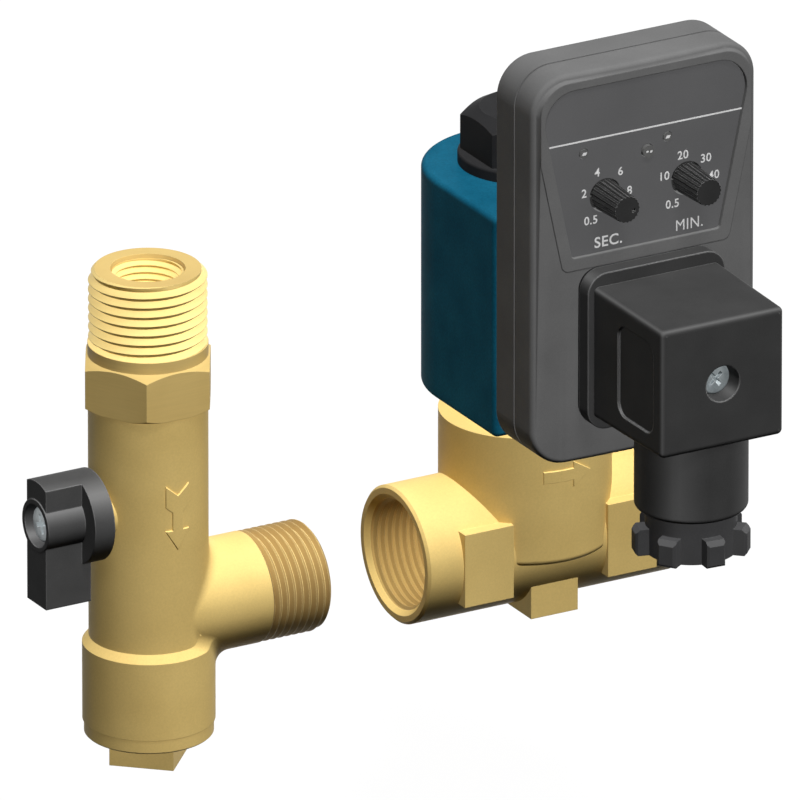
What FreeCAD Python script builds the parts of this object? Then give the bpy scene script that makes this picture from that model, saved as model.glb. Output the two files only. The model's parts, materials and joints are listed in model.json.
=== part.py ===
import FreeCAD, Part
import math
import os

V = FreeCAD.Vector
UP = V(0, 0, 1)
RIGHT = V(1, 0, 0)
FRONT = V(0, -1, 0)

# All sizes in millimetres. The origin is on the strainer valve's axis, at the shoulder
# that its inlet thread stops against. +Z is up, +X is the way the water flows, -Y is the front.

# Pipe threads, by radius
half_inch_major = 10.478
half_inch_minor = 9.3
quarter_inch_bore = 6.58
thread_chamfer = 0.93

# Clearances
running = 0.05      # a turning or sliding fit, on the radius
loose = 0.1         # between pieces of one assembly, on the radius
working = 0.3       # between pieces that move past each other
wall_break = 0.5    # small chamfers and edge breaks

# Inlet end of the strainer valve
inlet_thread_length = 14.3
collar_radius = 11.0
collar_height = 2.2
hex_flats = 22.6
hex_height = 9.3
hex_top_break = 1.2
hex_foot_break = 0.8
inlet_bore_depth = 14.0

# Body of the strainer valve
pipe_radius = 10.95
ball_drop = 20.0            # from the top of the body to the ball's centre
branch_drop = 20.8          # from the ball's centre to the flow axis
sleeve_radius = 12.15
sleeve_drop = 4.8           # from the flow axis to where the sleeve swells
sleeve_swell = 1.5
sleeve_length = 16.5
branch_radius = 10.4
branch_neck = 20.3
branch_thread = 12.4
branch_bore = 6.0
branch_blend = 3.0
screen_socket = 1.0         # depth of the screen's seat in the chamber's roof
chamber_radius = 9.0
chamber_rise = 7.6          # from the flow axis to the chamber's roof

# Ball, seats and stem
ball_radius = 8.0
ball_bore = 4.5
ball_cavity = 8.6
seat_radius = 8.5
seat_inset = 4.6
seat_reach = 8.8
seat_bore = 4.9
plug_radius = 9.3
stem_radius = 3.0
stem_square = 4.4
tongue_thickness = 2.4
tongue_depth = 1.5
packing_radius = 4.6
packing_depth = 1.3
boss_radius = 5.6
boss_reach = 11.3

# Handle
handle_disc_radius = 8.6
handle_disc_thickness = 4.1
handle_bar_width = 7.1
handle_bar_start = 2.3      # from the disc's inner face
handle_reach = 11.8         # from the disc's inner face to the hub's end
handle_bar_drop = 15.4
handle_bar_inset = 0.2      # from the hub's end to the bar's outer face
hub_radius = 5.0
hub_bore = 4.05
hub_bore_depth = 2.9
handle_screw_head = 3.4
handle_screw_drop = 1.2     # from the hub's end to the screw's head
handle_screw_shank = 1.25
handle_screw_length = 8.0
handle_screw_spare = 1.0    # free depth past the screw's tip

# Strainer cap and screen
cap_radius = 11.85
cap_rim = 2.7
cap_edge_break = 0.25
cap_plug_length = 9.3
square_flats = 12.0
square_height = 5.2
square_turn = 47.5          # how the cap stands when it is tight
gasket_thickness = 0.5
gasket_radius = 10.7
screen_radius = 6.5
screen_wall = 0.6
screen_seat = 2.0
screen_hole = 1.3
screen_columns = 6
screen_rows = 4

# Drain valve body. Its own origin is where the flow axis meets the coil's axis.
valve_gap = 18.5            # the photographed gap between the two valves
port_half_length = 27.4
port_radius = 13.0
port_depth = 14.0
port_mouth_break = 0.9
barrel_radius = 15.9
barrel_foot = 1.5
barrel_height = 23.9
barrel_foot_round = 1.2
pad_inner = 9.9
pad_outer = 20.1
pad_reach = 13.4
pad_half_height = 7.15
foot_half_width = 4.9
foot_half_depth = 11.0
foot_height = 13.3
inner_port_radius = 4.5
inlet_rise_offset = 7.6
inlet_rise_radius = 2.8
chamber_depth = 11.9        # from the barrel's top to the valve chamber's floor
seat_ring_radius = 4.0
seat_ring_height = 2.4
orifice_radius = 2.25
valve_chamber_radius = 9.3
bonnet_thread_radius = 11.0

# Bonnet, tube, core and plunger
bonnet_plug = 6.4
bonnet_flats = 24.0
bonnet_hex = 4.9
bonnet_crown = 1.0
bonnet_crown_inset = 0.2
seal_thickness = 0.6
flange_thickness = 0.6
tube_radius = 6.5
tube_wall = 0.9
tube_drop = 2.0             # from the coil's top to the tube's end
core_length = 15.0
stud_radius = 4.0
stud_length = 9.0
stud_spare = 0.5
plunger_radius = 5.5
plunger_lift = 2.0
plunger_seal_radius = 3.6
plunger_seal_depth = 2.0
plunger_seal_rise = 0.95    # how far the seal stands out of the plunger
spring_pocket_radius = 2.7
spring_pocket_depth = 8.0
spring_wire = 0.35
spring_radius = 2.1
spring_turns = 5

# Coil
coil_radius = 19.0
coil_front = 22.4
coil_height = 42.9
coil_edge = 1.0
coil_corner = 1.2
coil_wall = 2.5
coil_bore = 6.8
coil_end_wall = 3.5
frame_thickness = 3.0
frame_half_width = 12.5
frame_back = 10.0
bobbin_flange_radius = 13.0
bobbin_flange = 1.2
bobbin_wall = 0.8
winding_radius = 12.3

# Coil nut
nut_base_radius = 12.4
nut_base_height = 2.2
nut_flats = 20.6
nut_rise = 11.0             # from the coil's top to the nut's top
nut_crown = 1.9

# Terminal base between the coil and the timer
plug_rise = 24.8            # from the coil's bottom to the connector's screw
base_half = 13.0
base_depth = 5.8
base_corner = 2.0
timer_gasket_thickness = 1.5
timer_gasket_rim = 3.0
blade_width = 6.3
blade_thickness = 0.8
blade_spread = 9.0
blade_reach = 11.0
blade_slack = 0.3

# Timer case
timer_half_width = 23.3
timer_below = 22.6          # from the connector's screw to the case's foot
timer_above = 53.1          # and to its top
timer_corner = 7.25
timer_rear_depth = 7.5
timer_front_depth = 6.9
timer_crown = 0.8           # how far the front bulges
timer_wall = 2.0
timer_rear_edge = 1.2
timer_front_edge = 1.0
parting_groove = 0.35
boss_wall = 1.5
screw_hole = 1.7
post_radius = 2.0
board_thickness = 1.6
board_gap = 2.3             # from the rear wall's inside to the board
board_margin = 1.7
post_inset = 6.5

# Panel
panel_rise = 17.4           # from the connector's screw to the panel's foot
panel_height = 32.7
panel_bottom_half = 15.4
panel_lean = 0.213          # sideways growth for each millimetre of height
panel_corner = 6.0
panel_small_corner = 0.8
panel_recess = 0.6
panel_plate = 0.5
bezel_width = 2.4
bezel_rise = 0.25
bezel_corner = 1.6
bezel_margin = 1.4          # from the case's outline to the bezel

# Knobs, lamps and test button
knob_spacing = 17.0
knob_centre = 0.3
knob_rise = 10.9            # from the panel's foot
knob_base_radius = 2.95
knob_tip_radius = 2.6
knob_length = 8.3
knob_sink = 0.2             # how far the knob's foot stands into its hole
knob_ribs = 20
knob_rib_depth = 0.22
knob_shaft_radius = 1.5
knob_shaft_grip = 1.2       # how far the shaft reaches into its potentiometer
pot_half = 4.4
pot_depth = 4.6
lamp_radius = 0.9
lamp_above = 8.9            # above the knobs
lamp_stand = 0.2            # how far a lamp stands out of the panel
lamp_places = (-12.7, 4.7)
button_radius = 1.2
button_place = 0.5
button_above = 7.0          # above the knobs
button_slack = 0.2
button_travel = 0.6
button_rise = 0.7
switch_half = 2.4
switch_depth = 3.4

# Connector
connector_gasket_thickness = 1.0
connector_base_depth = 3.1
connector_base_half_width = 14.3
connector_base_half_height = 15.2
connector_base_corner = 4.0
connector_front = 72.4
connector_half_width = 12.75
connector_half_height = 12.45
connector_taper = 0.3
connector_edge = 1.1
connector_wall = 1.8
side_panel_rear = 56.7
side_panel_front = 69.4
side_panel_margin = 3.6
side_panel_depth = 0.35
side_panel_corner = 2.6
screw_recess_radius = 3.45
screw_recess_depth = 4.9
screw_head_radius = 3.1
screw_head_height = 2.1
screw_shank_radius = 1.4
screw_spare = 1.5           # from the screw's tip to the coil
insert_half_width = 10.2
insert_half_height = 9.6
insert_depth = 11.0
insert_corner = 1.5
pin_reach = 7.5
pin_slack = 1.0

# Cable gland
gland_centre = 61.0
gland_radius = 10.4
gland_drop = 27.6           # from the connector's screw to the barrel's foot
gland_round = 1.0
gland_bore = 8.4
throat_radius = 6.0
throat_rise = 3.7
neck_radius = 6.9
neck_length = 6.6
grommet_bore = 4.0
grommet_length = 9.3
washer_thickness = 0.8
washer_bore = 4.6
gland_nut_radius = 10.75
gland_nut_collar = 8.4
gland_nut_drop = 8.5        # from the barrel's foot to the nut's foot
lobe_height = 5.1
gland_nut_floor = 1.6
gland_nut_hole = 5.0
lobe_count = 7
lobe_width = 3.7
lobe_top_break = 0.9
lobe_break = 0.45
lobe_turn = 9.2             # how the nut stands when it is tight

# Places worked out from the sizes above
body_top = -(collar_height + hex_height)
ball_z = body_top - ball_drop
flow_z = ball_z - branch_drop
sleeve_z = flow_z - sleeve_drop
body_foot = sleeve_z - sleeve_length
chamber_roof = flow_z + chamber_rise
branch_end = branch_neck + branch_thread
valve_spacing = branch_end + valve_gap + port_half_length
valve_origin = V(valve_spacing, 0, flow_z)
disc_face = boss_reach + working
hub_end = disc_face + handle_reach
cap_top = body_foot + cap_plug_length
screen_foot = cap_top - screen_seat
chamber_floor = barrel_height - chamber_depth
bonnet_foot = barrel_height - bonnet_plug
chamber_step = bonnet_foot - flange_thickness - seal_thickness
bonnet_top = barrel_height + bonnet_hex
coil_bottom = bonnet_top + working
coil_top = coil_bottom + coil_height
tube_top = coil_top - tube_drop
nut_top = coil_top + nut_rise
plug_height = coil_bottom + plug_rise
orifice_rim = chamber_floor + seat_ring_height
plunger_seal_foot = orifice_rim + running
plunger_foot = plunger_seal_foot + plunger_seal_rise
core_foot = tube_top - core_length
plunger_top = core_foot - plunger_lift - working
timer_bottom = plug_height - timer_below
timer_top = plug_height + timer_above
panel_bottom = plug_height + panel_rise
panel_top = panel_bottom + panel_height
knob_height = panel_bottom + knob_rise
lamp_height = knob_height + lamp_above
button_height = knob_height + button_above
timer_rear = coil_front + base_depth + timer_gasket_thickness
timer_parting = timer_rear + timer_rear_depth
timer_front = timer_parting + timer_front_depth
board_rear = timer_rear + timer_wall + board_gap
board_front = board_rear + board_thickness
panel_face = timer_front + bezel_rise - panel_recess
connector_base_rear = timer_front + connector_gasket_thickness
connector_rear = connector_base_rear + connector_base_depth
gland_bottom = plug_height - gland_drop
throat_top = gland_bottom + throat_rise
neck_foot = gland_bottom - neck_length
gland_nut_bottom = gland_bottom - gland_nut_drop
nut_floor_top = gland_nut_bottom + gland_nut_floor


# Helpers

def cylinder(radius, length, base, axis=UP):
    return Part.makeCylinder(radius, length, base, axis)


def ring(outer, inner, length, base, axis=UP):
    return cylinder(outer, length, base, axis).cut(cylinder(inner, length, base, axis))


def box(x0, x1, y0, y1, z0, z1):
    return Part.makeBox(x1 - x0, y1 - y0, z1 - z0, V(x0, y0, z0))


def edges_along(shape, axis):
    found = []
    for edge in shape.Edges:
        if len(edge.Vertexes) == 2:
            run = edge.Vertexes[1].Point.sub(edge.Vertexes[0].Point)
            if run.Length > 0 and abs(run.normalize().dot(axis)) > 0.999:
                found.append(edge)
    return found


def rounded_box(x0, x1, y0, y1, z0, z1, axis, radius):
    block = box(x0, x1, y0, y1, z0, z1)
    return block.makeFillet(radius, edges_along(block, axis))


def turned(profile):
    """A solid of revolution about Z from (radius, height) corners."""
    corners = [V(radius, 0, height) for radius, height in profile]
    face = Part.Face(Part.makePolygon(corners + corners[:1]))
    return face.revolve(V(0, 0, 0), UP, 360)


def hexagon(flats, height, base, turn=0.0):
    radius = flats / 2 / math.cos(math.radians(30))
    corners = []
    for step in range(6):
        angle = math.radians(turn + 60 * step)
        corners.append(base + V(radius * math.cos(angle), radius * math.sin(angle), 0))
    face = Part.Face(Part.makePolygon(corners + corners[:1]))
    return face.extrude(V(0, 0, height))


def helix_wire(radius, turns, low, high, wire):
    """A spring of six-sided wire."""
    path = Part.makeHelix((high - low) / turns, high - low, radius)
    corners = []
    for step in range(6):
        angle = math.radians(60 * step)
        corners.append(V(radius + wire * math.cos(angle), 0, wire * math.sin(angle)))
    start = Part.makePolygon(corners + corners[:1])
    coil = Part.Wire(path).makePipeShell([start], True, True)
    coil.translate(V(0, 0, low))
    return coil


def save(name, *solids):
    shape = solids[0] if len(solids) == 1 else Part.makeCompound(list(solids))
    shape.exportStep("parts/" + name + ".step")
    print(name, "%.1f mm3" % shape.Volume, "valid" if shape.isValid() else "NOT VALID", len(shape.Solids))


def save_valve(name, *solids):
    """Drain valve pieces are made about its own origin and then moved to their place."""
    for solid in solids:
        solid.translate(valve_origin)
    save(name, *solids)


# Strainer valve

def inlet_end():
    hex_radius = hex_flats / 2 / math.cos(math.radians(30))
    core = turned([
        (ball_bore, ball_z + seat_reach),
        (plug_radius, ball_z + seat_reach),
        (plug_radius, body_top),
        (collar_radius, body_top),
        (collar_radius, 0),
        (half_inch_major, 0),
        (half_inch_major, inlet_thread_length - thread_chamfer),
        (half_inch_major - thread_chamfer, inlet_thread_length),
        (quarter_inch_bore + thread_chamfer, inlet_thread_length),
        (quarter_inch_bore, inlet_thread_length - thread_chamfer),
        (quarter_inch_bore, inlet_thread_length - inlet_bore_depth),
        (ball_bore, inlet_thread_length - inlet_bore_depth - (quarter_inch_bore - ball_bore)),
    ])
    slope = math.tan(math.radians(30))
    envelope = turned([
        (plug_radius, body_top),
        (hex_radius - hex_foot_break / slope, body_top),
        (hex_radius, body_top + hex_foot_break),
        (hex_radius, -collar_height - hex_top_break),
        (hex_radius - hex_top_break / slope, -collar_height),
        (plug_radius, -collar_height),
    ])
    nut = hexagon(hex_flats, hex_height, V(0, 0, body_top)).common(envelope)
    save("inlet_end", core.fuse(nut).removeSplitter())


def strainer_valve_body():
    shell = turned([
        (0, body_top),
        (pipe_radius, body_top),
        (pipe_radius, sleeve_z),
        (sleeve_radius, sleeve_z - sleeve_swell),
        (sleeve_radius, body_foot),
        (0, body_foot),
    ])
    neck = cylinder(branch_radius, branch_neck, V(0, 0, flow_z), RIGHT)
    shell = shell.fuse(neck)
    meeting = [e for e in shell.Edges if branch_meets_pipe(e)]
    shell = shell.makeFillet(branch_blend, meeting)
    thread_root = cylinder(half_inch_minor, branch_end, V(0, 0, flow_z), RIGHT)
    boss = cylinder(boss_radius, boss_reach, V(0, 0, ball_z), V(-1, 0, 0))
    shell = shell.fuse([thread_root, boss])
    inside = turned([
        (0, body_top),
        (plug_radius + running, body_top),
        (plug_radius + running, ball_z + seat_reach),
        (ball_cavity, ball_z + seat_reach),
        (ball_cavity, ball_z - seat_reach),
        (ball_bore, ball_z - seat_reach),
        (ball_bore, chamber_roof + screen_socket),
        (screen_radius + working, chamber_roof + screen_socket),
        (screen_radius + working, chamber_roof),
        (chamber_radius, chamber_roof),
        (chamber_radius, body_foot + gasket_thickness + loose),
        (gasket_radius + working, body_foot + gasket_thickness + loose),
        (gasket_radius + working, body_foot),
        (0, body_foot),
    ])
    branch_hole = cylinder(branch_bore, branch_end, V(0, 0, flow_z), RIGHT)
    stem_hole = cylinder(stem_radius + running, boss_reach, V(0, 0, ball_z), V(-1, 0, 0))
    packing_hole = cylinder(packing_radius, packing_depth, V(-boss_reach, 0, ball_z), RIGHT)
    body = shell.cut([inside, branch_hole, stem_hole, packing_hole])
    save("strainer_valve_body", body.removeSplitter())


def branch_meets_pipe(edge):
    middle = edge.CenterOfMass
    near = edge.BoundBox
    return near.XMin > 0.1 and near.XMax < branch_neck - 1 and abs(middle.z - flow_z) < branch_radius


def ball_seats():
    bowl = Part.makeSphere(ball_radius + running, V(0, 0, ball_z))
    rings = []
    for side in (1, -1):
        base = V(0, 0, ball_z + side * seat_inset)
        blank = ring(seat_radius, seat_bore, seat_reach - seat_inset, base, V(0, 0, side))
        rings.append(blank.cut(bowl))
    save("ball_seats", *rings)


def ball():
    sphere = Part.makeSphere(ball_radius, V(0, 0, ball_z))
    bore = cylinder(ball_bore, 4 * ball_radius, V(0, 0, ball_z - 2 * ball_radius))
    half = tongue_thickness / 2 + loose
    depth = ball_radius - tongue_depth - loose
    slot = box(-2 * ball_radius, -depth, -ball_radius, ball_radius, ball_z - half, ball_z + half)
    save("ball", sphere.cut([bore, slot]))


def stem():
    inner = ball_radius - tongue_depth
    side = stem_square / 2
    left = V(-1, 0, 0)
    rod = cylinder(stem_radius, disc_face - inner, V(-inner, 0, ball_z), left)
    above = box(-ball_radius, 0, -ball_radius, ball_radius, ball_z + tongue_thickness / 2, ball_z + ball_radius)
    below = box(-ball_radius, 0, -ball_radius, ball_radius, ball_z - ball_radius, ball_z - tongue_thickness / 2)
    square_end = hub_end - hub_bore_depth - loose
    square = box(-square_end, -disc_face, -side, side, ball_z - side, ball_z + side)
    screw_space = cylinder(handle_screw_shank + loose, handle_screw_length, V(-square_end, 0, ball_z), RIGHT)
    save("stem", rod.cut([above, below]).fuse(square).cut(screw_space))


def stem_packing():
    outer = packing_radius - running
    packing = ring(outer, stem_radius + running, packing_depth, V(-boss_reach, 0, ball_z), RIGHT)
    save("stem_packing", packing)


def handle():
    left = V(-1, 0, 0)
    centre = V(0, 0, ball_z)
    disc = cylinder(handle_disc_radius, handle_disc_thickness, V(-disc_face, 0, ball_z), left)
    half = handle_bar_width / 2
    bar_inner = disc_face + handle_bar_start
    bar_outer = hub_end - handle_bar_inset
    bar = box(-bar_outer, -bar_inner, -half, half, ball_z - handle_bar_drop, ball_z + handle_disc_radius)
    crown = cylinder(handle_disc_radius, hub_end, centre, left)
    lower = box(-hub_end, 0, -half, half, ball_z - handle_bar_drop, ball_z)
    bar = bar.common(crown.fuse(lower))
    hub = cylinder(hub_radius, handle_reach - handle_bar_start, V(-bar_inner, 0, ball_z), left)
    side = stem_square / 2 + running
    square = box(-hub_end, -disc_face, -side, side, ball_z - side, ball_z + side)
    recess = cylinder(hub_bore, hub_bore_depth, V(-hub_end, 0, ball_z), RIGHT)
    grip = disc.fuse([bar, hub]).cut([square, recess])
    save("handle", grip.removeSplitter())


def handle_screw():
    seat = hub_end - hub_bore_depth
    head = cylinder(handle_screw_head, hub_bore_depth - handle_screw_drop, V(-seat, 0, ball_z), V(-1, 0, 0))
    head = head.makeFillet(wall_break, [e for e in head.Edges if e.CenterOfMass.x < -seat - 1])
    shank = cylinder(handle_screw_shank, handle_screw_length - handle_screw_spare, V(-seat, 0, ball_z), RIGHT)
    save("handle_screw", head.fuse(shank))


def strainer_cap():
    rim = turned([
        (0, cap_top),
        (chamber_radius - 2 * running, cap_top),
        (chamber_radius - 2 * running, body_foot),
        (cap_radius, body_foot),
        (cap_radius, body_foot - cap_rim + cap_edge_break),
        (cap_radius - cap_edge_break, body_foot - cap_rim),
        (0, body_foot - cap_rim),
    ])
    side = square_flats / 2
    foot = body_foot - cap_rim - square_height
    square = box(-side, side, -side, side, foot, body_foot - cap_rim)
    square.rotate(V(0, 0, 0), UP, square_turn)
    pocket = cylinder(screen_radius + loose, screen_seat, V(0, 0, screen_foot))
    save("strainer_cap", rim.fuse(square).cut(pocket).removeSplitter())


def strainer_cap_gasket():
    save("strainer_cap_gasket", ring(gasket_radius, chamber_radius + loose, gasket_thickness, V(0, 0, body_foot)))


def strainer_screen():
    top = chamber_roof + screen_socket - working
    tube = ring(screen_radius, screen_radius - screen_wall, top - screen_foot, V(0, 0, screen_foot))
    first = cap_top + 2 * screen_hole
    rise = (chamber_roof - screen_hole - first) / screen_rows
    holes = []
    for row in range(screen_rows):
        for column in range(screen_columns // 2):
            angle = math.radians(360 / screen_columns * (column + 0.5 * (row % 2)))
            aim = V(math.cos(angle), math.sin(angle), 0)
            start = V(0, 0, first + rise * (row + 0.5)) - aim * (2 * screen_radius)
            holes.append(cylinder(screen_hole, 4 * screen_radius, start, aim))
    save("strainer_screen", tube.cut(holes))


# Drain valve, about its own origin

def drain_valve_body():
    barrel = cylinder(barrel_radius, barrel_height + barrel_foot, V(0, 0, -barrel_foot))
    barrel = barrel.makeFillet(barrel_foot_round, [e for e in barrel.Edges if e.BoundBox.ZMax < 0])
    tube = cylinder(port_radius, 2 * port_half_length, V(-port_half_length, 0, 0), RIGHT)
    tube = tube.makeChamfer(wall_break, [e for e in tube.Edges if e.BoundBox.XLength < 0.01])
    solids = [tube]
    for side in (-1, 1):
        near, far = sorted((side * pad_inner, side * pad_outer))
        solids.append(box(near, far, -pad_reach, pad_reach, -pad_half_height, pad_half_height))
    solids.append(box(-foot_half_width, foot_half_width, -foot_half_depth, foot_half_depth, -foot_height, 0))
    body = barrel.fuse(solids)
    cuts = []
    for side in (-1, 1):
        mouth = V(side * port_half_length, 0, 0)
        inward = V(-side, 0, 0)
        cuts.append(cylinder(half_inch_major, port_depth, mouth, inward))
        cuts.append(Part.makeCone(half_inch_major + port_mouth_break, half_inch_major, port_mouth_break, mouth, inward))
    inlet_inner = inlet_rise_offset - inlet_rise_radius
    cuts.append(cylinder(inner_port_radius, port_half_length - inlet_inner, V(-port_half_length, 0, 0), RIGHT))
    cuts.append(cylinder(inner_port_radius, port_half_length, V(0, 0, 0), RIGHT))
    cuts.append(cylinder(inlet_rise_radius, chamber_floor + 1, V(-inlet_rise_offset, 0, 0)))
    cuts.append(cylinder(orifice_radius, barrel_height, V(0, 0, 0)))
    chamber = ring(valve_chamber_radius, seat_ring_radius, seat_ring_height, V(0, 0, chamber_floor))
    cuts.append(chamber)
    cuts.append(cylinder(valve_chamber_radius, barrel_height - orifice_rim, V(0, 0, orifice_rim)))
    cuts.append(cylinder(bonnet_thread_radius, barrel_height - chamber_step, V(0, 0, chamber_step)))
    save_valve("drain_valve_body", body.cut(cuts).removeSplitter())


def bonnet():
    corner = bonnet_flats / 2 / math.cos(math.radians(30))
    hexagonal = hexagon(bonnet_flats, bonnet_hex, V(0, 0, barrel_height), 30)
    crown = turned([
        (0, barrel_height),
        (corner, barrel_height),
        (corner, bonnet_top - bonnet_crown),
        (bonnet_flats / 2 - bonnet_crown_inset, bonnet_top),
        (0, bonnet_top),
    ])
    plug = cylinder(bonnet_thread_radius - running, bonnet_plug, V(0, 0, bonnet_foot))
    hole = cylinder(tube_radius + running, bonnet_top, V(0, 0, 0))
    save_valve("bonnet", hexagonal.common(crown).fuse(plug).cut(hole).removeSplitter())


def bonnet_seal():
    outer = bonnet_thread_radius - loose
    save_valve("bonnet_seal", ring(outer, valve_chamber_radius + loose, seal_thickness, V(0, 0, chamber_step)))


def armature_tube():
    flange_foot = bonnet_foot - flange_thickness
    flange = cylinder(bonnet_thread_radius - loose, flange_thickness, V(0, 0, flange_foot))
    tube = cylinder(tube_radius, tube_top - flange_foot, V(0, 0, flange_foot))
    bore = cylinder(tube_radius - tube_wall, tube_top - flange_foot, V(0, 0, flange_foot))
    save_valve("armature_tube", flange.fuse(tube).cut(bore))


def fixed_core():
    core = cylinder(tube_radius - tube_wall - running, core_length, V(0, 0, core_foot))
    stud = cylinder(stud_radius, stud_length, V(0, 0, tube_top))
    stud = stud.makeChamfer(wall_break, [e for e in stud.Edges if e.BoundBox.ZMin > tube_top + 1])
    save_valve("fixed_core", core.fuse(stud))


def plunger():
    rod = cylinder(plunger_radius, plunger_top - plunger_foot, V(0, 0, plunger_foot))
    puck = cylinder(plunger_seal_radius + running, plunger_seal_depth, V(0, 0, plunger_foot))
    pocket = cylinder(spring_pocket_radius, spring_pocket_depth, V(0, 0, plunger_top - spring_pocket_depth))
    save_valve("plunger", rod.cut([puck, pocket]))


def plunger_seal():
    height = plunger_foot + plunger_seal_depth - plunger_seal_foot
    save_valve("plunger_seal", cylinder(plunger_seal_radius, height, V(0, 0, plunger_seal_foot)))


def plunger_spring():
    low = plunger_top - spring_pocket_depth + spring_wire + running
    high = core_foot - spring_wire - running
    save_valve("plunger_spring", helix_wire(spring_radius, spring_turns, low, high, spring_wire))


# Coil, about the same origin

def coil_outline(shrink, low, high):
    radius = coil_radius - shrink
    front = -coil_front + shrink
    back = Part.Arc(V(radius, 0, low), V(0, radius, low), V(-radius, 0, low)).toShape()
    left = Part.makeLine(V(-radius, 0, low), V(-radius, front, low))
    face = Part.makeLine(V(-radius, front, low), V(radius, front, low))
    right = Part.makeLine(V(radius, front, low), V(radius, 0, low))
    outline = Part.Wire([back, left, face, right])
    return Part.Face(outline).extrude(V(0, 0, high - low))


def coil_housing():
    block = coil_outline(0, coil_bottom, coil_top)
    corners = [e for e in edges_along(block, UP) if e.CenterOfMass.y < -coil_front + 1]
    block = block.makeFillet(coil_corner, corners)
    ends = [e for e in block.Edges if e.BoundBox.ZLength < 0.01]
    block = block.makeFillet(coil_edge, ends)
    cavity = coil_outline(coil_wall, coil_bottom + coil_end_wall, coil_top - coil_end_wall)
    hole = cylinder(coil_bore, coil_top, V(0, 0, coil_bottom - 1))
    save_valve("coil_housing", block.cut([cavity, hole]))


def coil_frame():
    low = coil_bottom + coil_end_wall
    high = coil_top - coil_end_wall
    front = -(coil_front - coil_wall - loose)
    bracket = box(-frame_half_width, frame_half_width, front, frame_back, low, high)
    inside = box(-frame_half_width, frame_half_width, front + frame_thickness, frame_back,
                 low + frame_thickness, high - frame_thickness)
    hole = cylinder(coil_bore, coil_top, V(0, 0, coil_bottom))
    save_valve("coil_frame", bracket.cut([inside, hole]))


def bobbin_span():
    low = coil_bottom + coil_end_wall + frame_thickness
    high = coil_top - coil_end_wall - frame_thickness
    return low, high


def coil_bobbin():
    low, high = bobbin_span()
    tube = ring(coil_bore + bobbin_wall, coil_bore, high - low, V(0, 0, low))
    flanges = []
    for base in (low, high - bobbin_flange):
        flanges.append(ring(bobbin_flange_radius, coil_bore, bobbin_flange, V(0, 0, base)))
    save_valve("coil_bobbin", tube.fuse(flanges).removeSplitter())


def coil_winding():
    low, high = bobbin_span()
    base = V(0, 0, low + bobbin_flange)
    inner = coil_bore + bobbin_wall + running
    save_valve("coil_winding", ring(winding_radius, inner, high - low - 2 * bobbin_flange, base))


def coil_nut():
    base_foot = coil_top + working
    base_top = base_foot + nut_base_height
    base = cylinder(nut_base_radius, nut_base_height, V(0, 0, base_foot))
    base = base.makeFillet(wall_break, [e for e in base.Edges if e.BoundBox.ZMin > base_foot + 1])
    corner = nut_flats / 2 / math.cos(math.radians(30))
    crown = turned([
        (0, base_top),
        (corner, base_top),
        (corner, nut_top - nut_crown),
        (nut_flats / 2 - nut_crown, nut_top),
        (0, nut_top),
    ])
    grip = hexagon(nut_flats, nut_top - base_top, V(0, 0, base_top), 30).common(crown)
    stud_space = cylinder(stud_radius + loose, tube_top + stud_length + stud_spare - base_foot, V(0, 0, base_foot))
    save_valve("coil_nut", base.fuse(grip).cut(stud_space).removeSplitter())


def blade_places():
    """The two power blades lie flat above and below the screw; the earth blade stands beside it."""
    return [
        (0, plug_height + blade_spread, blade_width, blade_thickness),
        (0, plug_height - blade_spread, blade_width, blade_thickness),
        (blade_spread, plug_height, blade_thickness, blade_width),
    ]


def blades(rear, front, slack):
    found = []
    for x, z, wide, tall in blade_places():
        half_x = wide / 2 + slack
        half_z = tall / 2 + slack
        found.append(box(x - half_x, x + half_x, -front, -rear, z - half_z, z + half_z))
    return found


def screw_way(rear, front):
    return cylinder(screw_hole, front - rear, V(0, -rear, plug_height), FRONT)


def coil_terminal_base():
    rear, front = coil_front, coil_front + base_depth
    low, high = plug_height - base_half, plug_height + base_half
    block = rounded_box(-base_half, base_half, -front, -rear, low, high, FRONT, base_corner)
    save_valve("coil_terminal_base", block.cut(blades(rear, front, blade_slack) + [screw_way(rear, front)]))


def coil_terminals():
    save_valve("coil_terminals", *blades(coil_front, coil_front + blade_reach, 0))


def timer_gasket():
    rear, front = coil_front + base_depth, timer_rear
    low, high = plug_height - base_half, plug_height + base_half
    sheet = rounded_box(-base_half, base_half, -front, -rear, low, high, FRONT, base_corner)
    half = base_half - timer_gasket_rim
    window = box(-half, half, -front, -rear, low + timer_gasket_rim, high - timer_gasket_rim)
    save_valve("timer_gasket", sheet.cut(window))


# Timer, about the same origin

def case_block(inset, rear, front):
    half = timer_half_width - inset
    low, high = timer_bottom + inset, timer_top - inset
    return rounded_box(-half, half, -front, -rear, low, high, FRONT, timer_corner - inset)


def crowned_space():
    """The space behind the case's slightly bulging front, as one tall prism."""
    edge = -(timer_front - timer_crown)
    half = timer_half_width
    low = timer_bottom
    bulge = Part.Arc(V(-half, edge, low), V(0, -timer_front, low), V(half, edge, low)).toShape()
    right = Part.makeLine(V(half, edge, low), V(half, 0, low))
    rear = Part.makeLine(V(half, 0, low), V(-half, 0, low))
    left = Part.makeLine(V(-half, 0, low), V(-half, edge, low))
    plan = Part.Face(Part.Wire([bulge, right, rear, left]))
    return plan.extrude(V(0, 0, timer_top - timer_bottom))


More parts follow.
